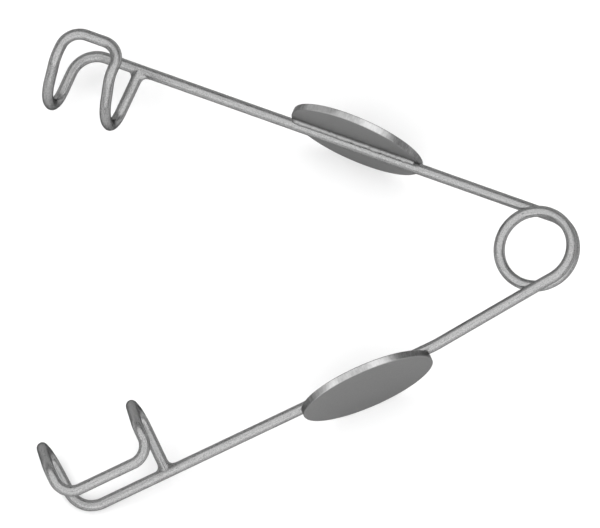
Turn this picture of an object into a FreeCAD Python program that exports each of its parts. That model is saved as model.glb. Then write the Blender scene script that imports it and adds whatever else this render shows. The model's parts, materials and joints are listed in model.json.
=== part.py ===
"""Spring-wire eyelid retractor: one bent wire with a coil hinge, two lid loops and two finger pads.

The instrument is drawn with the coil's axis upright, the arms running towards -X and the lid loops
rising, the upper arm on the +Y side. It is then laid down as it lies on a table, on the rims of both
finger pads and the tip of an arm, with the origin on the table under the middle of the part.
"""
import FreeCAD, Part
import math
import os
from dataclasses import dataclass
from FreeCAD import Vector

# Driving dimensions, in millimetres and degrees
WIRE_DIAMETER = 1.2

# Coil
COIL_MEAN_RADIUS = 4.05  # from the coil's axis to the middle of the wire
COIL_TURN_GAP = 0.05  # daylight between neighbouring turns
COIL_LEAD = 1.0  # length of arm that still follows the coil's slope
LEAD_BEND_RADIUS = 10.0

# Arms: angle to the middle plane, and length from the coil to the sharp corner at the tip
UPPER_ARM_ANGLE = 22.5
LOWER_ARM_ANGLE = 27.5
UPPER_ARM_LENGTH = 55.5
LOWER_ARM_LENGTH = 56.8
LOWER_ARM_BEND = 5.0  # turn towards the upper arm, between the coil and the pad
ARM_BEND_RADIUS = 12.0

# Lid loops: reach is measured from the arm towards the eye, height from the arm's wire
UPPER_LOOP_LENGTH = 6.85  # along the arm, between the middles of the loop's two hooks
LOWER_LOOP_LENGTH = 10.6
HOOK_REACH = 7.1
HOOK_FOOT_HEIGHT = 0.4  # where the hook's foot turns up
HOOK_TURN_HEIGHT = 4.8  # where the hook turns back over the arm
HOOK_SHOULDER_REACH = 3.05
HOOK_SHOULDER_HEIGHT = 8.5
BAR_HEIGHT = 8.0
BAR_OVERHANG = 0.25  # the bar lies this far outside the arm
HOOK_SPLAY = 1.8  # lean of the hooks towards the tip
TIP_BEND_RADIUS = 2.85
BAR_BEND_RADIUS = 2.1
SHOULDER_BEND_RADIUS = 2.2
TURN_BEND_SHARE = 0.49  # the radius of the hook's turn, as a share of the turn's height

# Finger pads
PAD_DIAMETER = 15.0
PAD_THICKNESS = 0.8
PAD_EDGE_BEVEL = 0.12
PAD_SEAT_DEPTH = 0.2  # how deep the wire lies in the pad's inner face
PAD_ROLL = 5.5  # lean of the pad's top away from the eye
UPPER_PAD_DISTANCE = 23.4  # along the arm, from the coil to the pad's middle
LOWER_PAD_DISTANCE = 22.8
BEND_TO_PAD = 1.0  # from the arm's bend to the pad's rim

# Braze and weld between the pieces
BRAZE_SPREAD = 0.35  # how far the bead climbs the pad past the wire
BRAZE_LIP_ANGLE = 96.0  # where the bead ends on the wire, counted from the pad
BRAZE_CROWN = 0.15  # how far the bead bulges between its two ends
BRAZE_MARGIN = 0.35  # the braze stops this far inside the pad's rim
WELD_SINK = 0.05  # how deep the loop's square end is pressed into the arm
WELD_REACH = 0.8  # of the web between the loop's end and the arm
WELD_WIDTH_SHARE = 0.97  # the web's width at the arm, as a share of the wire's

# Sizes that follow from the driving ones
WIRE_RADIUS = WIRE_DIAMETER / 2
COIL_PITCH = WIRE_DIAMETER + COIL_TURN_GAP
COIL_SWEEP = 540 - UPPER_ARM_ANGLE - LOWER_ARM_ANGLE  # a turn and a half, less both arms' angles
COIL_RISE = COIL_PITCH * COIL_SWEEP / 360
COIL_SLOPE = COIL_PITCH / (2 * math.pi * COIL_MEAN_RADIUS)
PAD_RADIUS = PAD_DIAMETER / 2
PAD_FACE_OFFSET = WIRE_RADIUS - PAD_SEAT_DEPTH  # from the wire's middle to the pad's inner face
UP = Vector(0, 0, 1)
SETTLING_STEPS = 6  # rounds of laying the instrument on its three lowest points
STRAIGHT = 1e-4  # radians: a smaller turn needs no arc


def unit(vector):
    return vector / vector.Length


@dataclass
class Half:
    """One arm with its loop and pad. side is +1 for the upper half and -1 for the lower one."""

    name: str
    side: int
    angle: float
    length: float
    bend: float
    loop_length: float
    pad_distance: float

    def heading(self, bend=0.0):
        """The arm's direction towards the tip, seen from above."""
        turn = math.radians(self.angle - bend)
        return Vector(-math.cos(turn), self.side * math.sin(turn), 0)

    def coil_end(self):
        """Where the arm leaves the coil."""
        turn = math.radians(self.angle)
        outwards = Vector(math.sin(turn), self.side * math.cos(turn), 0)
        return outwards * COIL_MEAN_RADIUS - UP * (self.side * COIL_RISE / 2)

    def bend_distance(self):
        return self.pad_distance - PAD_RADIUS - BEND_TO_PAD

    def arm_points(self):
        """The coil's end, the end of the lead, the arm's bend and the sharp corner at the tip.

        The arms start a wire apart in height and meet the coil's middle plane at their tips.
        """
        start = self.coil_end()
        lead_end = start + unit(self.heading() - UP * (self.side * COIL_SLOPE)) * COIL_LEAD
        bend = start + self.heading() * self.bend_distance()
        tip = bend + self.heading(self.bend) * (self.length - self.bend_distance())
        done = (self.bend_distance() - COIL_LEAD) / (self.length - COIL_LEAD)
        bend.z = lead_end.z * (1 - done)
        tip.z = 0
        return [start, lead_end, bend, tip]

    def loop_point(self, back, inwards, height):
        """A place on the lid loop, counted from the sharp corner at the tip."""
        _, _, bend, tip = self.arm_points()
        along = unit(tip - bend)
        reach = unit(UP.cross(along)) * self.side
        splay = math.tan(math.radians(HOOK_SPLAY)) * inwards
        return tip + along * (splay - back) + reach * inwards + UP * height

    def loop_end(self):
        """Where the loop's last run meets the arm's middle, and that run's direction out of it."""
        root = self.loop_point(self.loop_length, 0, 0)
        return root, unit(self.loop_point(self.loop_length, HOOK_REACH, HOOK_FOOT_HEIGHT) - root)

    def arm_at_weld(self):
        """The stretch of the arm's wire that the loop's end is welded to."""
        root, _ = self.loop_end()
        along = unit(self.loop_point(0, 0, 0) - root)
        reach = WIRE_DIAMETER + WELD_REACH
        return Part.makeCylinder(WIRE_RADIUS, 2 * reach, root - along * reach, along)

    def pad_frame(self):
        """The wire's middle behind the pad, and the directions along the wire, out of the pad and up."""
        _, _, bend, tip = self.arm_points()
        along = unit(tip - bend)
        level = unit(along.cross(UP)) * self.side
        upright = level.cross(along) * self.side
        roll = math.radians(PAD_ROLL)
        outwards = level * math.cos(roll) - upright * math.sin(roll)
        upwards = upright * math.cos(roll) + level * math.sin(roll)
        middle = bend + along * (self.pad_distance - self.bend_distance())
        return middle, along, outwards, upwards


UPPER = Half(
    "upper", 1, UPPER_ARM_ANGLE, UPPER_ARM_LENGTH, 0.0, UPPER_LOOP_LENGTH, UPPER_PAD_DISTANCE
)
LOWER = Half(
    "lower", -1, LOWER_ARM_ANGLE, LOWER_ARM_LENGTH, LOWER_ARM_BEND, LOWER_LOOP_LENGTH,
    LOWER_PAD_DISTANCE,
)


def line(start, end):
    return Part.LineSegment(start, end).toShape()


def rounded_path(points, radii):
    """Straight runs through the points, with a tangent arc of the given radius at each inner one."""
    edges = []
    run_start = points[0]
    for before, corner, after, radius in zip(points, points[1:], points[2:], radii):
        incoming = unit(corner - before)
        outgoing = unit(after - corner)
        turn = incoming.getAngle(outgoing)
        if turn < STRAIGHT:
            continue
        setback = radius * math.tan(turn / 2)
        inside = unit(outgoing - incoming)
        nearest = corner + inside * (radius / math.cos(turn / 2) - radius)
        arc_start = corner - incoming * setback
        arc_end = corner + outgoing * setback
        edges.append(line(run_start, arc_start))
        edges.append(Part.Arc(arc_start, nearest, arc_end).toShape())
        run_start = arc_end
    edges.append(line(run_start, points[-1]))
    return edges


def wire_along(edges, twisting=False):
    """A round wire with its middle on the edges."""
    start = edges[0].FirstParameter
    section = Part.makeCircle(WIRE_RADIUS, edges[0].valueAt(start), edges[0].tangentAt(start))
    return Part.Wire(edges).makePipeShell([Part.Wire(section)], True, twisting)


def spring_coil():
    """The coil, which climbs clockwise from the upper arm to the lower one, seen from above."""
    helix = Part.makeHelix(COIL_PITCH, COIL_RISE, COIL_MEAN_RADIUS, 0, True)
    helix.rotate(Vector(), UP, 90 - UPPER_ARM_ANGLE)
    helix.translate(UP * (-COIL_RISE / 2))
    return wire_along(helix.Edges, twisting=True)


def arm_and_loop(half):
    """The arm as far as the tip's bend, and the lid loop from there to its end on the arm's side."""
    hook = [
        (HOOK_REACH, HOOK_FOOT_HEIGHT),
        (HOOK_REACH, HOOK_TURN_HEIGHT),
        (HOOK_SHOULDER_REACH, HOOK_SHOULDER_HEIGHT),
        (-BAR_OVERHANG, BAR_HEIGHT),
    ]
    far_hook = [half.loop_point(0, *corner) for corner in hook]
    near_hook = [half.loop_point(half.loop_length, *corner) for corner in reversed(hook)]
    root, out_of_arm = half.loop_end()
    square_end = root + out_of_arm * (WIRE_RADIUS - WELD_SINK)
    turn_radius = TURN_BEND_SHARE * (HOOK_TURN_HEIGHT - HOOK_FOOT_HEIGHT)
    hook_radii = [turn_radius, turn_radius, SHOULDER_BEND_RADIUS, BAR_BEND_RADIUS]
    arm_radii = [LEAD_BEND_RADIUS, ARM_BEND_RADIUS]
    points = half.arm_points() + far_hook + near_hook + [square_end]
    edges = rounded_path(points, arm_radii + [TIP_BEND_RADIUS] + hook_radii + hook_radii[::-1])
    arm_edges = len(rounded_path(half.arm_points(), arm_radii))
    arm = wire_along(edges[:arm_edges])
    return arm, wire_along(edges[arm_edges:]).cut(half.arm_at_weld())


def loop_weld(half, loop):
    """The weld that fills the corners between the loop's square end and the round arm.

    It is a flared round foot around the loop's end, flattened to the arm's width.
    """
    root, out_of_arm = half.loop_end()
    sideways = unit(out_of_arm.cross(half.loop_point(0, 0, 0) - root))
    lengthways = sideways.cross(out_of_arm)
    widest = WIRE_RADIUS + WELD_REACH
    hollow = WIRE_RADIUS + WELD_REACH * (1 - math.sqrt(0.5))
    flare_edge = Part.Arc(
        Vector(widest, 0, WIRE_RADIUS), Vector(hollow, 0, hollow), Vector(WIRE_RADIUS, 0, widest)
    )
    outline = [
        line(Vector(0, 0, 0), Vector(widest, 0, 0)),
        line(Vector(widest, 0, 0), Vector(widest, 0, WIRE_RADIUS)),
        flare_edge.toShape(),
        line(Vector(WIRE_RADIUS, 0, widest), Vector(0, 0, widest)),
        line(Vector(0, 0, widest), Vector(0, 0, 0)),
    ]
    flare = Part.Face(Part.Wire(outline)).revolve(Vector(), UP, 360)
    flattened = sideways * (WELD_WIDTH_SHARE * WIRE_RADIUS / widest)
    columns = (lengthways, flattened, out_of_arm, root)
    placed = FreeCAD.Matrix(*[getattr(c, axis) for axis in "xyz" for c in columns], 0, 0, 0, 1)
    return flare.transformGeometry(placed).cut(half.arm_at_weld()).cut(loop)


def finger_pad(half, arm):
    """A round disc with bevelled edges and a shallow seat that the wire lies in."""
    middle, _, outwards, _ = half.pad_frame()
    disc = Part.makeCylinder(
        PAD_RADIUS, PAD_THICKNESS, middle + outwards * PAD_FACE_OFFSET, outwards
    )
    rims = [edge for edge in disc.Edges if isinstance(edge.Curve, Part.Circle)]
    return disc.makeChamfer(PAD_EDGE_BEVEL, rims).cut(arm)


def pad_braze(half, arm):
    """A bulging bead on each side of the wire, as long as the pad and sloping down at its ends."""
    middle, along, outwards, upwards = half.pad_frame()
    foot = middle + outwards * PAD_FACE_OFFSET
    lip = math.radians(BRAZE_LIP_ANGLE)
    strips = []
    for side in (1, -1):
        aside = upwards * side
        on_pad = foot + aside * (WIRE_RADIUS + BRAZE_SPREAD)
        on_wire = middle + (outwards * math.cos(lip) + aside * math.sin(lip)) * WIRE_RADIUS
        chord = on_pad - on_wire
        bulge = unit(aside * chord.dot(outwards) - outwards * chord.dot(aside))
        crown = (on_pad + on_wire) / 2 + bulge * BRAZE_CROWN
        outline = [
            line(middle, foot),
            line(foot, on_pad),
            Part.Arc(on_pad, crown, on_wire).toShape(),
            line(on_wire, middle),
        ]
        section = Part.Face(Part.Wire(outline))
        section.translate(along * -PAD_RADIUS)
        strips.append(section.extrude(along * PAD_DIAMETER))
    widest = PAD_RADIUS - BRAZE_MARGIN
    room = Part.makeCone(widest, widest - WIRE_DIAMETER, WIRE_DIAMETER, foot, outwards * -1)
    return Part.makeCompound([strip.common(room).cut(arm) for strip in strips])


def table_upwards(feet):
    """Straight up from the table, when all three feet touch it, in the instrument's own frame."""
    span = UPPER_ARM_LENGTH + LOWER_ARM_LENGTH
    upwards = UP
    for _ in range(SETTLING_STEPS):
        below = Vector(-span, -span, 0) - upwards * span
        table = Part.makePlane(2 * span, 2 * span, below, upwards)
        first, second, third = [table.distToShape(foot)[1][0][1] for foot in feet]
        upwards = unit((second - first).cross(third - first))
        upwards = upwards if upwards.z > 0 else upwards * -1
    return upwards


def standing_frame(pieces):
    """The turn that lays the instrument on the table, and the coil's middle after it.

    Its feet are the rims of both finger pads and the lower of the two loops.
    """
    loops = Part.makeCompound([pieces["upper_lid_loop"], pieces["lower_lid_loop"]])
    feet = [pieces["upper_finger_pad"], pieces["lower_finger_pad"], loops]
    turn = FreeCAD.Rotation(table_upwards(feet), UP)
    laid = Part.makeCompound(list(pieces.values()))
    laid.Placement = FreeCAD.Placement(Vector(), turn)
    box = laid.optimalBoundingBox(False, False)
    return FreeCAD.Placement(Vector(-box.Center.x, -box.Center.y, -box.ZMin), turn)


def build():
    """Every piece, lying on the table, with the origin under the middle of the part."""
    pieces = {"spring_coil": spring_coil()}
    for half in (UPPER, LOWER):
        arm, loop = arm_and_loop(half)
        pieces[half.name + "_arm"] = arm
        pieces[half.name + "_lid_loop"] = loop
        pieces[half.name + "_loop_weld"] = loop_weld(half, loop)
        pieces[half.name + "_finger_pad"] = finger_pad(half, arm)
        pieces[half.name + "_pad_braze"] = pad_braze(half, arm)
    laid = standing_frame(pieces)
    placed = {name: piece.transformed(laid.Matrix) for name, piece in pieces.items()}
    return placed, laid


def main():
    pieces, laid = build()
    os.makedirs("parts", exist_ok=True)
    for name, piece in pieces.items():
        solids = piece.Solids
        node = solids[0] if len(solids) == 1 else Part.makeCompound(solids)
        node.exportStep(f"parts/{name}.step")
        print(f"{name}: {len(solids)} solid, {node.Volume:.3f} mm3, valid {node.isValid()}")
    print(f"coil's middle at {laid.Base}, its axis along {laid.Rotation.multVec(UP)}")


main()
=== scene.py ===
"""Looks of the spring-wire eyelid retractor: satin steel wire, matte finger pads, braze and welds.

The pieces are drawn as the part's own source draws them, in millimetres, with the coil's axis
upright, the arms running towards -X and the lid loops rising. They are then laid on the table as
the frame has them.
"""

import json
import math
from dataclasses import dataclass

import bmesh
import bpy
from mathutils import Matrix, Vector, noise


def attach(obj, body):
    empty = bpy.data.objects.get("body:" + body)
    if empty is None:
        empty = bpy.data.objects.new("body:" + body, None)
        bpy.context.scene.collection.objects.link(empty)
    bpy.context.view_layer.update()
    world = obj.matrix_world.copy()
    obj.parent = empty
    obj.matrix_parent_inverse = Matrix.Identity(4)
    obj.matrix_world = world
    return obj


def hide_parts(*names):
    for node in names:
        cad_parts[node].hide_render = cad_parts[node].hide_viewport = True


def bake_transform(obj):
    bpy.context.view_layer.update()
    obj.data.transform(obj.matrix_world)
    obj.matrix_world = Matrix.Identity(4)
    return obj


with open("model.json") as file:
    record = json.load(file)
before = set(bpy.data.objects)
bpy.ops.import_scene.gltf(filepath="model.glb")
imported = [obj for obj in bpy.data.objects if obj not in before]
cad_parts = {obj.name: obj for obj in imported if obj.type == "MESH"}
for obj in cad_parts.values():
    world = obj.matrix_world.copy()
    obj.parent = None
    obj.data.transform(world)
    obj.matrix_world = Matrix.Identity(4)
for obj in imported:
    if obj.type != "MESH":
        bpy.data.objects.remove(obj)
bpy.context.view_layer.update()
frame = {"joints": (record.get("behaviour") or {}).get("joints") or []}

# Sizes of the instrument, in millimetres and degrees
WIRE_DIAMETER = 1.2
COIL_MEAN_RADIUS = 4.05
COIL_TURN_GAP = 0.05
COIL_LEAD = 1.0
LEAD_BEND_RADIUS = 10.0
ARM_BEND_RADIUS = 12.0
HOOK_REACH = 7.1
HOOK_FOOT_HEIGHT = 0.4
HOOK_TURN_HEIGHT = 4.8
HOOK_SHOULDER_REACH = 3.05
HOOK_SHOULDER_HEIGHT = 8.5
BAR_HEIGHT = 8.0
BAR_OVERHANG = 0.25
HOOK_SPLAY = 1.8  # angle by which both hooks slant towards the tip
TIP_BEND_RADIUS = 2.85
BAR_BEND_RADIUS = 2.1
SHOULDER_BEND_RADIUS = 2.2
TURN_BEND_RADIUS = 0.49 * (HOOK_TURN_HEIGHT - HOOK_FOOT_HEIGHT)
PAD_RADIUS = 7.5
PAD_THICKNESS = 0.8
PAD_RIM_ROUNDING = 0.12
PAD_FACE_OFFSET = 0.4
BEND_TO_PAD = 1.0
UPPER_ARM_ANGLE = 22.5
LOWER_ARM_ANGLE = 27.5

WIRE_RADIUS = WIRE_DIAMETER / 2
COIL_PITCH = WIRE_DIAMETER + COIL_TURN_GAP
COIL_SWEEP = 540 - UPPER_ARM_ANGLE - LOWER_ARM_ANGLE
COIL_RISE = COIL_PITCH * COIL_SWEEP / 360
COIL_SLOPE = COIL_PITCH / (2 * math.pi * COIL_MEAN_RADIUS)
UP = Vector((0, 0, 1))

# How finely the wire is drawn
SIDES_AROUND_WIRE = 32
STEP_ALONG_WIRE = 0.15
STEPS_IN_BEND = 48
STEPS_IN_TURN = 128

# From the drawing to the frame: the coil's middle, the lean of its axis, millimetres to metres
hinge = frame["joints"][0]
COIL_MIDDLE = Vector(hinge["pos_m"])
LEAN = UP.rotation_difference(Vector(hinge["axis"])).to_matrix()
ON_TABLE = Matrix.Translation(COIL_MIDDLE) @ LEAN.to_4x4() @ Matrix.Scale(0.001, 4)


# The instrument's lines

@dataclass
class Half:
    """One arm with its loop and pad. side is +1 for the upper half and -1 for the lower one.

    angle is the arm's at the coil, bend is its turn towards the other arm just before the pad, and
    length runs from the coil to the sharp corner that the tip would have without its rounding.
    Each lean is how far that leg of the loop is inclined towards the other one at the bar.
    tip_setback is how far before the tip the arm turns into the loop.
    """

    name: str
    side: int
    angle: float
    length: float
    bend: float
    loop_length: float
    pad_distance: float
    pad_roll: float
    tip_leg_lean: float
    coil_leg_lean: float
    leg_bend_radius: float
    tip_setback: float

    def heading(self, bend=0.0):
        """The arm's direction in plan, turned by the bend."""
        turn = math.radians(self.angle - bend)
        return Vector((-math.cos(turn), self.side * math.sin(turn), 0))

    def coil_end(self):
        """Where the arm leaves the coil."""
        turn = math.radians(self.angle)
        outwards = Vector((math.sin(turn), self.side * math.cos(turn), 0))
        return outwards * COIL_MEAN_RADIUS - UP * (self.side * COIL_RISE / 2)

    def arm_points(self):
        """The coil's end, the end of the lead, the arm's bend and the sharp corner at the tip."""
        to_bend = self.pad_distance - PAD_RADIUS - BEND_TO_PAD
        start = self.coil_end()
        slope = (self.heading() - UP * (self.side * COIL_SLOPE)).normalized()
        lead_end = start + slope * COIL_LEAD
        bend = start + self.heading() * to_bend
        tip = bend + self.heading(self.bend) * (self.length - to_bend)
        bend.z = lead_end.z * (1 - (to_bend - COIL_LEAD) / (self.length - COIL_LEAD))
        tip.z = 0
        return [start, lead_end, bend, tip]

    def along(self):
        """The arm's direction from its bend to its tip."""
        _, _, bend, tip = self.arm_points()
        return (tip - bend).normalized()

    def loop_point(self, back, inwards, height):
        """A place on the lid loop, counted from the sharp corner at the tip."""
        reach = UP.cross(self.along()).normalized() * self.side
        splay = math.tan(math.radians(HOOK_SPLAY)) * inwards
        tip = self.arm_points()[3]
        return tip + self.along() * (splay - back) + reach * inwards + UP * height

    def loop_end(self):
        """Where the loop's wire ends in the arm, and the direction in which it leaves the arm."""
        root = self.loop_point(self.loop_length, 0, 0)
        foot = self.loop_point(self.loop_length, HOOK_REACH, HOOK_FOOT_HEIGHT)
        return root, (foot - root).normalized()

    def pad_frame(self):
        """The wire's middle behind the pad, and the directions along it, out of the pad and up."""
        along = self.along()
        bend = self.arm_points()[2]
        level = along.cross(UP).normalized() * self.side
        upright = level.cross(along) * self.side
        roll = math.radians(self.pad_roll)
        outwards = level * math.cos(roll) - upright * math.sin(roll)
        upwards = upright * math.cos(roll) + level * math.sin(roll)
        return bend + along * (PAD_RADIUS + BEND_TO_PAD), along, outwards, upwards

    def wire_line(self):
        """Corners of the arm and its loop, each with the radius of its bend."""
        # One leg's corners from its foot to the bar: 1 if at the bar, reach, height, radius
        hook = [
            (0, HOOK_REACH, HOOK_FOOT_HEIGHT, TURN_BEND_RADIUS),
            (0, HOOK_REACH, HOOK_TURN_HEIGHT, self.leg_bend_radius),
            (1, HOOK_SHOULDER_REACH, HOOK_SHOULDER_HEIGHT, SHOULDER_BEND_RADIUS),
            (1, -BAR_OVERHANG, BAR_HEIGHT, BAR_BEND_RADIUS),
        ]
        arm_radii = [0, LEAD_BEND_RADIUS, ARM_BEND_RADIUS if self.bend else 0, TIP_BEND_RADIUS]
        start, lead_end, bend, tip = self.arm_points()
        turns_at = tip - self.along() * self.tip_setback
        line = list(zip([start, lead_end, bend, turns_at], arm_radii))
        line += [
            (self.loop_point(self.tip_leg_lean * at_bar, reach, height), radius)
            for at_bar, reach, height, radius in hook
        ]
        line += [
            (self.loop_point(self.loop_length - self.coil_leg_lean * at_bar, reach, height), radius)
            for at_bar, reach, height, radius in reversed(hook)
        ]
        root, _ = self.loop_end()
        return line + [(root, 0)]


UPPER = Half(
    name="upper", side=1, angle=UPPER_ARM_ANGLE, length=55.5, bend=0.0, loop_length=6.85,
    pad_distance=23.4, pad_roll=5.5, tip_leg_lean=0.32, coil_leg_lean=0.15, leg_bend_radius=4.8,
    tip_setback=0.0,
)
LOWER = Half(
    name="lower", side=-1, angle=LOWER_ARM_ANGLE, length=56.8, bend=5.0, loop_length=10.6,
    pad_distance=22.8, pad_roll=4.5, tip_leg_lean=0.03, coil_leg_lean=0.0,
    leg_bend_radius=TURN_BEND_RADIUS, tip_setback=0.3,
)


# Trees of nodes

class Wired:
    """One output of a node. Arithmetic on it adds Math nodes to the same tree."""

    def __init__(self, graph, socket):
        self.graph = graph
        self.socket = socket

    def __getitem__(self, name):
        return Wired(self.graph, self.socket.node.outputs[name])

    def maths(self, operation, *values):
        return self.graph.node("ShaderNodeMath", {"operation": operation}, dict(enumerate(values)))

    def __add__(self, other):
        return self.maths("ADD", self, other)

    def __radd__(self, other):
        return self.maths("ADD", other, self)

    def __sub__(self, other):
        return self.maths("SUBTRACT", self, other)

    def __rsub__(self, other):
        return self.maths("SUBTRACT", other, self)

    def __mul__(self, other):
        return self.maths("MULTIPLY", self, other)

    def __rmul__(self, other):
        return self.maths("MULTIPLY", other, self)

    def __abs__(self):
        return self.maths("ABSOLUTE", self)


class Graph:
    """A tree of shader or geometry nodes that is written from its inputs to its result."""

    def __init__(self, tree):
        self.tree = tree
        tree.nodes.clear()

    def node(self, kind, settings=None, inputs=None):
        made = self.tree.nodes.new(kind)
        for name, value in (settings or {}).items():
            setattr(made, name, value)
        for name, value in (inputs or {}).items():
            if isinstance(value, Wired):
                self.tree.links.new(value.socket, made.inputs[name])
            else:
                made.inputs[name].default_value = value
        return Wired(self, made.outputs[0]) if made.outputs else None

    def noise(self, place, scale, detail=2.0):
        """Cloudy noise around 0, mostly within -0.3 and 0.3."""
        inputs = {"Vector": place, "Scale": scale, "Detail": detail}
        return self.node("ShaderNodeTexNoise", {}, inputs) - 0.5

    def stretched(self, place, factors):
        return self.node("ShaderNodeVectorMath", {"operation": "MULTIPLY"}, {0: place, 1: factors})

    def step(self, value, start, end):
        """0 below start, 1 above end, smooth between."""
        inputs = {"Value": value, "From Min": start, "From Max": end}
        return self.node("ShaderNodeMapRange", {"interpolation_type": "SMOOTHSTEP"}, inputs)


# Materials. Patterns are in millimetres of the piece itself.

WIRE_GREY, WIRE_ROUGHNESS = 0.275, 0.3
PAD_GREY, PAD_ROUGHNESS = 0.24, 0.45
BRAZE_GREY, BRAZE_ROUGHNESS = 0.28, 0.42
RIM_PAINTED_HIGHLIGHT_RISES = (4.9, 6.9)  # distances from the wire over which the rim's painted highlight sets in
RIM_PAINTED_HIGHLIGHT_FALLS = (7.1, 7.4)  # and over which half of it is lost again, furthest from the wire


def metal(name, describe, edge_tint):
    """A metal whose grey, roughness and relief in metres come from describe(graph, place)."""
    material = bpy.data.materials.new(name)
    material.use_nodes = True
    graph = Graph(material.node_tree)
    place = graph.node("ShaderNodeAttribute", {"attribute_name": "unbent"})["Vector"]
    grey, roughness, relief = describe(graph, place)
    bump = graph.node("ShaderNodeBump", {}, {"Height": relief, "Strength": 1.0, "Distance": 1.0})
    shader = graph.node("ShaderNodeBsdfPrincipled", {}, {
        "Base Color": grey, "Metallic": 1.0, "Roughness": roughness, "Normal": bump,
        "Specular Tint": (edge_tint, edge_tint, edge_tint, 1.0),
    })
    graph.node("ShaderNodeOutputMaterial", {}, {"Surface": shader})
    return material


def satin_wire(graph, place):
    """Drawn wire, blasted satin: faint lines along it, fine grain, cloudy patches, a few nicks."""
    lines = graph.noise(graph.stretched(place, (0.06, 1, 1)), 7.0)
    grain = graph.noise(place, 8.5, 2.0)
    patches = graph.noise(place, 0.6)
    nicks = graph.step(graph.noise(graph.stretched(place, (0.5, 1, 1)), 2.6, 0.0), 0.3, 0.36)
    grey = WIRE_GREY * (1 + 1.6 * grain + 0.45 * lines + 0.2 * patches - 0.35 * nicks)
    roughness = WIRE_ROUGHNESS + 0.15 * patches + 0.2 * lines
    return grey, roughness, 1.3e-5 * grain + 3e-6 * lines - 6e-6 * nicks


def matte_pad(graph, place):
    """Pad sheet, blasted matte, with a mottled grain.

    Away from the wire the rim has a painted highlight and painted glints besides its scuffs; near
    the wire it is painted darker, as painted shade.
    """
    grain = graph.noise(place, 8.0, 1.0)
    mottle = graph.noise(place, 1.1)
    rim = graph.node("ShaderNodeAttribute", {"attribute_name": "rim"})["Fac"]
    scuffs = graph.noise(graph.stretched(place, (1, 1, 0.3)), 5.0)
    # painted glints: brighter patches on the rim that stand in for reflections
    painted_rim_glints = graph.noise(graph.stretched(place, (1, 1, 0)), 0.45, 1.0)
    from_wire = abs(graph.node("ShaderNodeSeparateXYZ", {}, {0: place})["Y"])
    # painted highlight on the rim away from the wire, half lost again furthest from it, and painted
    # shade near the wire
    risen = graph.step(from_wire, *RIM_PAINTED_HIGHLIGHT_RISES)
    fallen = graph.step(from_wire, *RIM_PAINTED_HIGHLIGHT_FALLS)
    painted_rim_highlight = risen - 0.5 * fallen
    # the rim's real scuffs together with its painted highlight, glints and shade
    rim_scuffs_and_painted_light = 1.0 * scuffs + 0.4 * painted_rim_glints + 1.15 * painted_rim_highlight - 0.25
    grey = PAD_GREY * (1 + 0.3 * grain + 0.12 * mottle + rim * rim_scuffs_and_painted_light)
    roughness = PAD_ROUGHNESS + 0.1 * mottle - 0.1 * rim
    return grey, roughness, 4e-6 * grain + 1.5e-5 * rim * scuffs


def flowed_braze(graph, place):
    """Braze that has flowed and frozen in small ripples, with dark flecks of flux."""
    ripples = graph.noise(place, 2.4)
    grain = graph.noise(place, 9.0, 1.0)
    flecks = graph.step(graph.noise(place, 1.7, 1.0), 0.12, 0.3)
    grey = BRAZE_GREY * (1 + 0.3 * ripples + 0.35 * grain - 0.3 * flecks)
    return grey, BRAZE_ROUGHNESS + 0.2 * ripples, 8e-6 * ripples + 4e-6 * grain


wire_steel = metal("satin_wire", satin_wire, edge_tint=0.12)
pad_steel = metal("matte_pad_steel", matte_pad, edge_tint=0.45)
braze_metal = metal("flowed_braze", flowed_braze, edge_tint=0.1)


# Wire

def geometry_tree(name, inputs, describe):
    """A geometry tree with the named inputs. describe(graph, group) gives the finished geometry."""
    tree = bpy.data.node_groups.new(name, "GeometryNodeTree")
    tree.interface.new_socket("Geometry", in_out="INPUT", socket_type="NodeSocketGeometry")
    for label, kind in inputs.items():
        tree.interface.new_socket(label, in_out="INPUT", socket_type=kind)
    tree.interface.new_socket("Geometry", in_out="OUTPUT", socket_type="NodeSocketGeometry")
    graph = Graph(tree)
    finished = describe(graph, graph.node("NodeGroupInput"))
    graph.node("NodeGroupOutput", {}, {0: finished})
    return tree


WIRE_INPUTS = {
    "Wire radius": "NodeSocketFloat",
    "Sides around": "NodeSocketInt",
    "Step along": "NodeSocketFloat",
    "Metal": "NodeSocketMaterial",
}
COIL_INPUTS = {
    "Coil radius": "NodeSocketFloat",
    "Turns": "NodeSocketFloat",
    "Rise": "NodeSocketFloat",
    "First angle": "NodeSocketFloat",
}


def stored(graph, geometry, name, kind, value):
    settings = {"data_type": kind, "domain": "POINT"}
    inputs = {"Geometry": geometry, "Name": name, "Value": value}
    return graph.node("GeometryNodeStoreNamedAttribute", settings, inputs)


def recalled(graph, name, kind):
    return graph.node("GeometryNodeInputNamedAttribute", {"data_type": kind}, {"Name": name})


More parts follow.
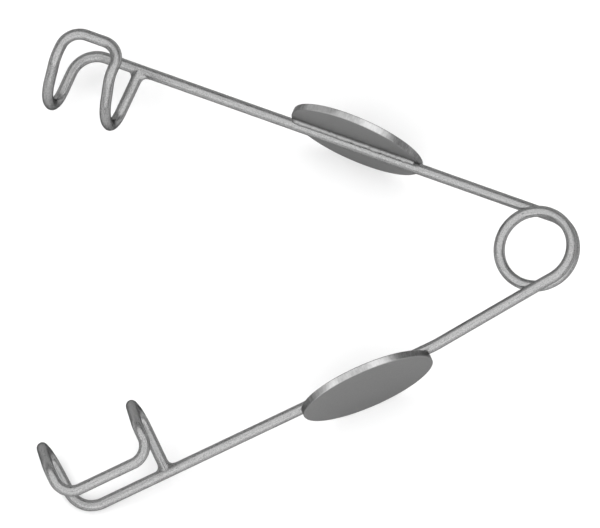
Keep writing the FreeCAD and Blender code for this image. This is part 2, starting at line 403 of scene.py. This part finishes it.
def tube(graph, group, line):
    """Round wire along the line. Each point keeps its place on the wire before it was bent."""
    line = graph.node("GeometryNodeResampleCurve", {"mode": "LENGTH"}, {
        "Curve": line, "Length": group["Step along"],
    })
    reached = graph.node("GeometryNodeSplineParameter")["Length"]
    line = stored(graph, line, "reached", "FLOAT", reached)
    section = graph.node("GeometryNodeCurvePrimitiveCircle", {}, {
        "Resolution": group["Sides around"], "Radius": group["Wire radius"],
    })
    position = graph.node("GeometryNodeInputPosition")
    section = stored(graph, section, "section", "FLOAT_VECTOR", position)
    wire = graph.node("GeometryNodeCurveToMesh", {}, {
        "Curve": line, "Profile Curve": section, "Fill Caps": True,
    })
    reached = recalled(graph, "reached", "FLOAT")
    section = recalled(graph, "section", "FLOAT_VECTOR")
    across = graph.node("ShaderNodeSeparateXYZ", {}, {0: section})
    place = graph.node("ShaderNodeCombineXYZ", {}, {
        "X": reached, "Y": across["X"], "Z": across["Y"],
    })
    wire = stored(graph, wire, "unbent", "FLOAT_VECTOR", place)
    for name in ("reached", "section"):
        wire = graph.node("GeometryNodeRemoveAttribute", {}, {"Geometry": wire, "Name": name})
    wire = graph.node("GeometryNodeRealizeInstances", {}, {"Geometry": wire})
    return graph.node("GeometryNodeSetMaterial", {}, {"Geometry": wire, "Material": group["Metal"]})


def bent_wire(graph, group):
    """Wire through the corners of a line, rounded at each by its own bend radius."""
    line = graph.node("GeometryNodeMeshToCurve", {}, {"Mesh": group["Geometry"]})
    radius = recalled(graph, "bend", "FLOAT")
    line = graph.node("GeometryNodeFilletCurve", {"mode": "POLY"}, {
        "Curve": line, "Count": STEPS_IN_BEND, "Radius": radius, "Limit Radius": False,
    })
    return tube(graph, group, line)


def coiled_wire(graph, group):
    """Wire along a clockwise helix about the upright axis, with its middle at the origin."""
    helix = graph.node("GeometryNodeCurveSpiral", {}, {
        "Resolution": STEPS_IN_TURN, "Rotations": group["Turns"],
        "Start Radius": group["Coil radius"], "End Radius": group["Coil radius"],
        "Height": group["Rise"], "Reverse": False,
    })
    shift = graph.node("ShaderNodeCombineXYZ", {}, {"Z": group["Rise"] * -0.5})
    turn = graph.node("ShaderNodeCombineXYZ", {}, {"Z": group["First angle"]})
    helix = graph.node("GeometryNodeTransform", {}, {
        "Geometry": helix, "Translation": shift, "Rotation": turn,
    })
    return tube(graph, group, helix)


bent_wire_tree = geometry_tree("bent wire", WIRE_INPUTS, bent_wire)
coiled_wire_tree = geometry_tree("coiled wire", {**WIRE_INPUTS, **COIL_INPUTS}, coiled_wire)


def new_object(name, data):
    piece = bpy.data.objects.new(name, data)
    bpy.context.scene.collection.objects.link(piece)
    return piece


def finish_mesh(piece, sharpest):
    """Lays the drawn mesh on the table. Edges that turn more degrees than sharpest stay sharp."""
    mesh = piece.data
    mesh.transform(ON_TABLE)
    mesh.shade_smooth()
    mesh.set_sharp_from_angle(angle=math.radians(sharpest))
    return piece


def grown(name, mesh, tree, values):
    """The plain mesh that a geometry tree makes of the given one."""
    piece = new_object(name, mesh)
    modifier = piece.modifiers.new("grown", "NODES")
    modifier.node_group = tree
    for item in tree.interface.items_tree:
        if item.in_out == "INPUT" and item.name in values:
            modifier[item.identifier] = values[item.name]
    graph = bpy.context.evaluated_depsgraph_get()
    made = bpy.data.meshes.new_from_object(
        piece.evaluated_get(graph), preserve_all_data_layers=True, depsgraph=graph
    )
    piece.modifiers.clear()
    piece.data = made
    return finish_mesh(piece, sharpest=40)


COIL_BLEND_SHARE = 0.85  # share of the coil's inner radius by which the points beside the coil's middle reach to each side; they are not used
WIRE_VALUES = {
    "Wire radius": WIRE_RADIUS,
    "Sides around": SIDES_AROUND_WIRE,
    "Step along": STEP_ALONG_WIRE,
    "Metal": wire_steel,
}
COIL_VALUES = {
    **WIRE_VALUES,
    "Coil radius": COIL_MEAN_RADIUS,
    "Turns": COIL_SWEEP / 360,
    "Rise": COIL_RISE,
    "First angle": math.radians(90 - UPPER_ARM_ANGLE),
}


def corner_line(name, corners):
    """A mesh of edges through the corners, each with the radius of its bend."""
    mesh = bpy.data.meshes.new(name)
    edges = [(i, i + 1) for i in range(len(corners) - 1)]
    mesh.from_pydata([point for point, _ in corners], edges, [])
    bend = mesh.attributes.new("bend", "FLOAT", "POINT")
    bend.data.foreach_set("value", [radius for _, radius in corners])
    return mesh


def arm_wire(half):
    """The arm and its lid loop, one length of wire that ends on its own arm."""
    name = half.name + "_wire"
    wire = grown(name, corner_line(name, half.wire_line()), bent_wire_tree, WIRE_VALUES)
    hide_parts(half.name + "_arm", half.name + "_lid_loop")
    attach(wire, half.name + "_half")
    return wire


def coil_wire():
    """The coil between the two halves, drawn at rest."""
    coil = grown("coil_wire", bpy.data.meshes.new("coil_wire"), coiled_wire_tree, COIL_VALUES)
    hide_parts("spring_coil")
    across = LEAN @ Vector((0, 1, 0)) * (COIL_MEAN_RADIUS - WIRE_RADIUS) * COIL_BLEND_SHARE / 1000
    COIL_MIDDLE - across
    COIL_MIDDLE + across
    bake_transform(coil)
    return coil


def band(mesh, row, after):
    """Faces between two closed rows of corners."""
    for i in range(len(row)):
        j = (i + 1) % len(row)
        mesh.faces.new((row[i], after[i], after[j], row[j]))


def mesh_from(drawn, name, material):
    made = bpy.data.meshes.new(name)
    drawn.to_mesh(made)
    drawn.free()
    made.materials.append(material)
    return made


def closed_piece(name, drawn, material, sharpest):
    """A drawn closed shell as a piece on the table, with its faces outwards."""
    bmesh.ops.recalc_face_normals(drawn, faces=drawn.faces)
    return finish_mesh(new_object(name, mesh_from(drawn, name, material)), sharpest)


# Finger pads

RIM_STEPS = 6
PAD_SPOKES = 160
FACE_RINGS = 14
RIM_WAVER = 0.048  # how far the rim is out of true along the pad's axis
RIM_LOSS = 0.0024  # share of the radius that dressing has taken off


def pad_outline():
    """Half of the pad's section as (radius, height, rim), from the inner face to the outer one."""
    inner_rim, outer_rim = [], []
    for i in range(RIM_STEPS + 1):
        turn = math.radians(90 * i / RIM_STEPS)
        reach = PAD_RADIUS - PAD_RIM_ROUNDING * (1 - math.sin(turn))
        sink = PAD_RIM_ROUNDING * (1 - math.cos(turn))
        inner_rim.append((reach, sink, i / RIM_STEPS))
        outer_rim.append((reach, PAD_THICKNESS - sink, i / RIM_STEPS))
    flat = PAD_RADIUS - PAD_RIM_ROUNDING
    face = [(flat * i / FACE_RINGS, 0.0, 0.0) for i in range(1, FACE_RINGS)]
    outer_face = [(radius, PAD_THICKNESS, rim) for radius, _, rim in face]
    return face + inner_rim + outer_rim[::-1] + outer_face[::-1]


def finger_pad(half):
    """A blanked disc with rounded rims, hardly out of true where it was dressed by hand."""
    middle, along, outwards, upwards = half.pad_frame()
    mesh = bmesh.new()
    rim_layer = mesh.verts.layers.float.new("rim")
    place_layer = mesh.verts.layers.float_vector.new("unbent")

    def corner(radius, height, rim, turn):
        flat = Vector((radius * math.cos(turn), radius * math.sin(turn), height))
        waver = noise.noise(flat * 0.35 + Vector((half.side * 7.0, 0, 0)))
        flat.z += RIM_WAVER * waver * rim * (1 - rim)
        flat.xy *= 1 - RIM_LOSS * (1 + waver) * rim
        start = middle + outwards * PAD_FACE_OFFSET
        vert = mesh.verts.new(start + along * flat.x + upwards * flat.y + outwards * flat.z)
        vert[rim_layer] = rim
        vert[place_layer] = flat
        return vert

    rows = [
        [corner(*point, 2 * math.pi * spoke / PAD_SPOKES) for spoke in range(PAD_SPOKES)]
        for point in pad_outline()
    ]
    for row, after in zip(rows, rows[1:]):
        band(mesh, row, after)
    for row, height in ((rows[0], 0.0), (rows[-1], PAD_THICKNESS)):
        centre = corner(0.0, height, 0.0, 0.0)
        for i in range(PAD_SPOKES):
            mesh.faces.new((centre, row[i], row[(i + 1) % PAD_SPOKES]))
    pad = closed_piece(half.name + "_pad", mesh, pad_steel, sharpest=40)
    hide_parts(half.name + "_finger_pad")
    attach(pad, half.name + "_half")
    return pad


# Braze along the wire behind each pad

BRAZE_STEP = 0.08
BRAZE_SECTION_STEPS = 14
BRAZE_END = 0.9  # how far the bead takes to rise from its end
BRAZE_STARTS = 0.35 - PAD_RADIUS  # at the coil's end, where it stops short of the rim
BRAZE_STOPS = PAD_RADIUS - 0.08
BRAZE_ON_PAD = 0.95  # height of the bead's foot on the pad, above the wire's middle
BRAZE_ON_WIRE = 96.0  # where the bead's lip lies on the wire, from the pad's outward direction
BRAZE_CROWN = 0.2  # how far the bead bulges between its lip and its foot
BRAZE_IN_PAD = 0.05  # how deep its foot is sunk in the pad
BRAZE_ROOT_HEIGHT = 0.1
FIRST_UNEVENNESS, LAST_UNEVENNESS = 1.2, 0.4  # at the coil's end and at the tip's
LIP_SHIFT = 9.0  # degrees by which the lip wanders on the wire
LIP_RETREAT = 40.0  # degrees by which the lip draws back at the bead's ends
FOOT_AT_END = 0.45  # share of the foot's height that is left at the bead's ends


def braze_section(side, swell, lip, foot):
    """Points of the bead's section as (outwards, up) from the wire: lip, crown, foot and root.

    The lip lies just under the wire's surface, and the root is hidden in the wire and the pad.
    """
    angle = math.radians(lip)
    to_lip = Vector((math.cos(angle), math.sin(angle))) * WIRE_RADIUS
    start = to_lip * 0.97
    end = Vector((PAD_FACE_OFFSET + BRAZE_IN_PAD, foot))
    chord = end - start
    bulge = Vector((-chord.y, chord.x)).normalized() * (BRAZE_CROWN * swell)
    if bulge.y < 0:
        bulge = -bulge
    points = []
    for i in range(BRAZE_SECTION_STEPS + 1):
        t = i / BRAZE_SECTION_STEPS
        crown = math.sin(math.pi * t) ** 0.7
        points.append(start + chord * t + bulge * crown)
    points.append(Vector((PAD_FACE_OFFSET + BRAZE_IN_PAD, BRAZE_ROOT_HEIGHT)))
    points.append(to_lip * 0.5)
    return [(point.x, point.y * side) for point in points]


def bead_row(half, side, progress):
    """Section of the bead at a share of its length, with the lumps that it froze in."""
    x = BRAZE_STARTS + (BRAZE_STOPS - BRAZE_STARTS) * progress
    unevenness = FIRST_UNEVENNESS + (LAST_UNEVENNESS - FIRST_UNEVENNESS) * progress
    seed = Vector((x * 0.9, side * 5.0, half.side * 9.0))
    lump = (noise.noise(seed) + 0.6 * noise.noise(seed * 2.7)) * unevenness
    edge = (noise.noise(seed * 1.8 + Vector((0, 3.0, 0))) + noise.noise(seed * 4.5)) * unevenness
    rise = min(1.0, (x - BRAZE_STARTS) / BRAZE_END, (BRAZE_STOPS - x) / BRAZE_END)
    rise = math.sqrt(max(0.0, 1 - (1 - rise) ** 2))
    swell = (1 + 0.5 * lump) * rise
    lip = BRAZE_ON_WIRE + LIP_SHIFT * edge - LIP_RETREAT * (1 - rise)
    foot = (BRAZE_ON_PAD + 0.1 * lump) * (FOOT_AT_END + (1 - FOOT_AT_END) * rise)
    return [(x, out, up) for out, up in braze_section(side, swell, lip, foot)]


def pad_braze(half):
    """A bead on each side of the wire, lumpy where it flowed, with rounded ends."""
    middle, along, outwards, upwards = half.pad_frame()
    mesh = bmesh.new()
    place_layer = mesh.verts.layers.float_vector.new("unbent")
    count = int((BRAZE_STOPS - BRAZE_STARTS) / BRAZE_STEP)

    def corner(x, out, up):
        vert = mesh.verts.new(middle + along * x + outwards * out + upwards * up)
        vert[place_layer] = Vector((x, out, up))
        return vert

    for side in (1, -1):
        sections = [bead_row(half, side, i / count) for i in range(count + 1)]
        rows = [[corner(*point) for point in section] for section in sections]
        for row, after in zip(rows, rows[1:]):
            band(mesh, row, after)
        mesh.faces.new(rows[0])
        mesh.faces.new(rows[-1][::-1])
    braze = closed_piece(half.name + "_braze", mesh, braze_metal, sharpest=70)
    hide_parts(half.name + "_pad_braze")
    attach(braze, half.name + "_half")
    return braze


# Weld between the loop's end and the arm

WELD_SPOKES = 64
WELD_STEPS = 12
WELD_REACH = 0.8
WELD_LEAST_REACH = 0.05  # at the wire's sides, where there is hardly a corner to fill
WELD_RADIUS = WIRE_RADIUS * 0.99  # the web's rims lie just under the wires' surfaces
WELD_SINK = 0.02  # how much deeper its rim on the arm lies
WELD_POLES = (0.1, 0.9)  # heights on the loop wire's axis where the web closes inside the wires


def weld_row(half, turn):
    """Points over one arc of the web, pole to pole: along the arm, sideways and out of the arm."""
    lump = noise.noise(Vector((math.cos(turn), math.sin(turn), half.side * 4.0)) * 1.3)
    web = WELD_REACH * (1 + 0.2 * lump) * abs(math.cos(turn)) ** 1.5 + WELD_LEAST_REACH
    x, y = WELD_RADIUS * math.cos(turn), WELD_RADIUS * math.sin(turn)
    on_arm = math.sqrt(max(0.0, WELD_RADIUS**2 - y**2))
    corner = Vector((x, y, on_arm))
    high = Vector((x, y, on_arm + web))
    low = Vector((x + web * math.copysign(1, math.cos(turn)), y, on_arm - WELD_SINK))
    shares = [i / WELD_STEPS for i in range(WELD_STEPS + 1)]
    arc = [low * (1 - t) ** 2 + corner * (2 * t * (1 - t)) + high * t**2 for t in shares]
    return [Vector((0, 0, WELD_POLES[0])), *arc, Vector((0, 0, WELD_POLES[1]))]


def loop_weld(half):
    """A smooth web that fills the corners between the loop's end and the arm, as a ring of arcs."""
    root, out_of_arm = half.loop_end()
    sideways = out_of_arm.cross(half.along()).normalized()
    lengthways = sideways.cross(out_of_arm).normalized()
    mesh = bmesh.new()
    place_layer = mesh.verts.layers.float_vector.new("unbent")

    def corner(point):
        place = root + lengthways * point.x + sideways * point.y + out_of_arm * point.z
        vert = mesh.verts.new(place)
        vert[place_layer] = point
        return vert

    rows = [
        [corner(point) for point in weld_row(half, 2 * math.pi * spoke / WELD_SPOKES)]
        for spoke in range(WELD_SPOKES)
    ]
    for row, after in zip(rows, rows[1:] + rows[:1]):
        for i in range(len(row) - 1):
            mesh.faces.new((row[i], after[i], after[i + 1], row[i + 1]))
    bmesh.ops.remove_doubles(mesh, verts=mesh.verts, dist=1e-5)  # all arcs share their poles
    weld = closed_piece(half.name + "_weld", mesh, wire_steel, sharpest=60)
    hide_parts(half.name + "_loop_weld")
    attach(weld, half.name + "_half")
    return weld


coil_wire()
for half in (UPPER, LOWER):
    arm_wire(half)
    finger_pad(half)
    pad_braze(half)
    loop_weld(half)


# Studio

BOWL_RADIUS = 1.0
BOWL_FLOOR_RADIUS = 0.5
BOWL_HEIGHT = 0.8
BOWL_SPOKES = 96
BOWL_FLOOR_STEPS = 8
BOWL_BEND_STEPS = 16
BACKDROP_GREY = 0.77
BACKDROP_GLOW = 0.15  # brings the backdrop from pale to white where it is seen or mirrored


def backdrop_material():
    """Pale grey that is white where it is seen or mirrored, and keeps the part's shadow."""
    material = bpy.data.materials.new("pale_backdrop")
    material.use_nodes = True
    graph = Graph(material.node_tree)
    seen = graph.node("ShaderNodeLightPath")
    shader = graph.node("ShaderNodeBsdfPrincipled", {}, {
        "Base Color": (BACKDROP_GREY, BACKDROP_GREY, BACKDROP_GREY, 1),
        "Roughness": 0.9,
        "Specular IOR Level": 0.0,
        "Emission Color": (1, 1, 1, 1),
        "Emission Strength": BACKDROP_GLOW * (
            seen["Is Camera Ray"] + seen["Is Glossy Ray"] + seen["Is Transmission Ray"]
        ),
    })
    graph.node("ShaderNodeOutputMaterial", {}, {"Surface": shader})
    return material


def studio_bowl():
    """A pale floor that curves up into a wall all round."""
    floor_steps = range(1, BOWL_FLOOR_STEPS + 1)
    outline = [(BOWL_FLOOR_RADIUS * i / BOWL_FLOOR_STEPS, 0.0) for i in floor_steps]
    bend = BOWL_RADIUS - BOWL_FLOOR_RADIUS
    for i in range(1, BOWL_BEND_STEPS + 1):
        turn = math.radians(90 * i / BOWL_BEND_STEPS)
        outline.append((BOWL_FLOOR_RADIUS + bend * math.sin(turn), bend * (1 - math.cos(turn))))
    outline.append((BOWL_RADIUS, BOWL_HEIGHT))
    turns = [2 * math.pi * spoke / BOWL_SPOKES for spoke in range(BOWL_SPOKES)]
    mesh = bmesh.new()
    rows = [
        [mesh.verts.new((reach * math.cos(turn), reach * math.sin(turn), height)) for turn in turns]
        for reach, height in outline
    ]
    mesh.faces.new(rows[0])
    for row, after in zip(rows, rows[1:]):
        band(mesh, row, after)
    bowl = new_object("backdrop", mesh_from(mesh, "backdrop", backdrop_material()))
    bowl.data.shade_smooth()


SOFTBOX_TOWARDS = Vector((0.0, -0.4, 1.0))
SOFTBOX_DISTANCE = 0.3
SOFTBOX_DIAMETER = 1.2
SOFTBOX_WATTS = 5.8
ROOM_LIGHT = 0.2


def softbox():
    """A wide round lamp above the part that looks at its middle."""
    light = bpy.data.lights.new("overhead_softbox", "AREA")
    light.shape = "DISK"
    light.size = SOFTBOX_DIAMETER
    light.energy = SOFTBOX_WATTS
    lamp = new_object("overhead_softbox", light)
    lamp.location = SOFTBOX_TOWARDS.normalized() * SOFTBOX_DISTANCE
    lamp.rotation_mode = "QUATERNION"
    lamp.rotation_quaternion = SOFTBOX_TOWARDS.to_track_quat("Z", "Y")


def room_light():
    """Even white light from all round."""
    world = bpy.data.worlds.new("studio")
    world.use_nodes = True
    graph = Graph(world.node_tree)
    glow = graph.node("ShaderNodeBackground", {}, {"Color": (1, 1, 1, 1), "Strength": ROOM_LIGHT})
    graph.node("ShaderNodeOutputWorld", {}, {"Surface": glow})
    bpy.context.scene.world = world


# The photograph's view: how far the instrument is turned from lying coil-upright before the camera,
# and where the coil's middle is in it
VIEW_TURN = Vector((-0.26866, -0.22545, 0.02825))
PIXELS = (600, 528)
PIXELS_PER_MM = 9.375
COIL_IN_PIXELS = (536.15, 248.67)
CAMERA_DISTANCE = 0.25


def photograph_camera():
    """The photograph's own view, with parallel rays."""
    camera = bpy.data.cameras.new("camera")
    camera.type = "ORTHO"
    camera.ortho_scale = PIXELS[0] / PIXELS_PER_MM / 1000
    camera.clip_start, camera.clip_end = 0.01, 10
    stand = new_object("camera", camera)
    turn = LEAN @ Matrix.Rotation(VIEW_TURN.length, 3, VIEW_TURN.normalized()).transposed()
    right = (PIXELS[0] / 2 - COIL_IN_PIXELS[0]) / PIXELS_PER_MM / 1000
    up = (COIL_IN_PIXELS[1] - PIXELS[1] / 2) / PIXELS_PER_MM / 1000
    place = COIL_MIDDLE + turn @ Vector((right, up, CAMERA_DISTANCE))
    stand.matrix_world = Matrix.Translation(place) @ turn.to_4x4()
    bpy.context.scene.camera = stand


studio_bowl()
softbox()
room_light()
photograph_camera()
bpy.context.scene.view_settings.view_transform = "Standard"
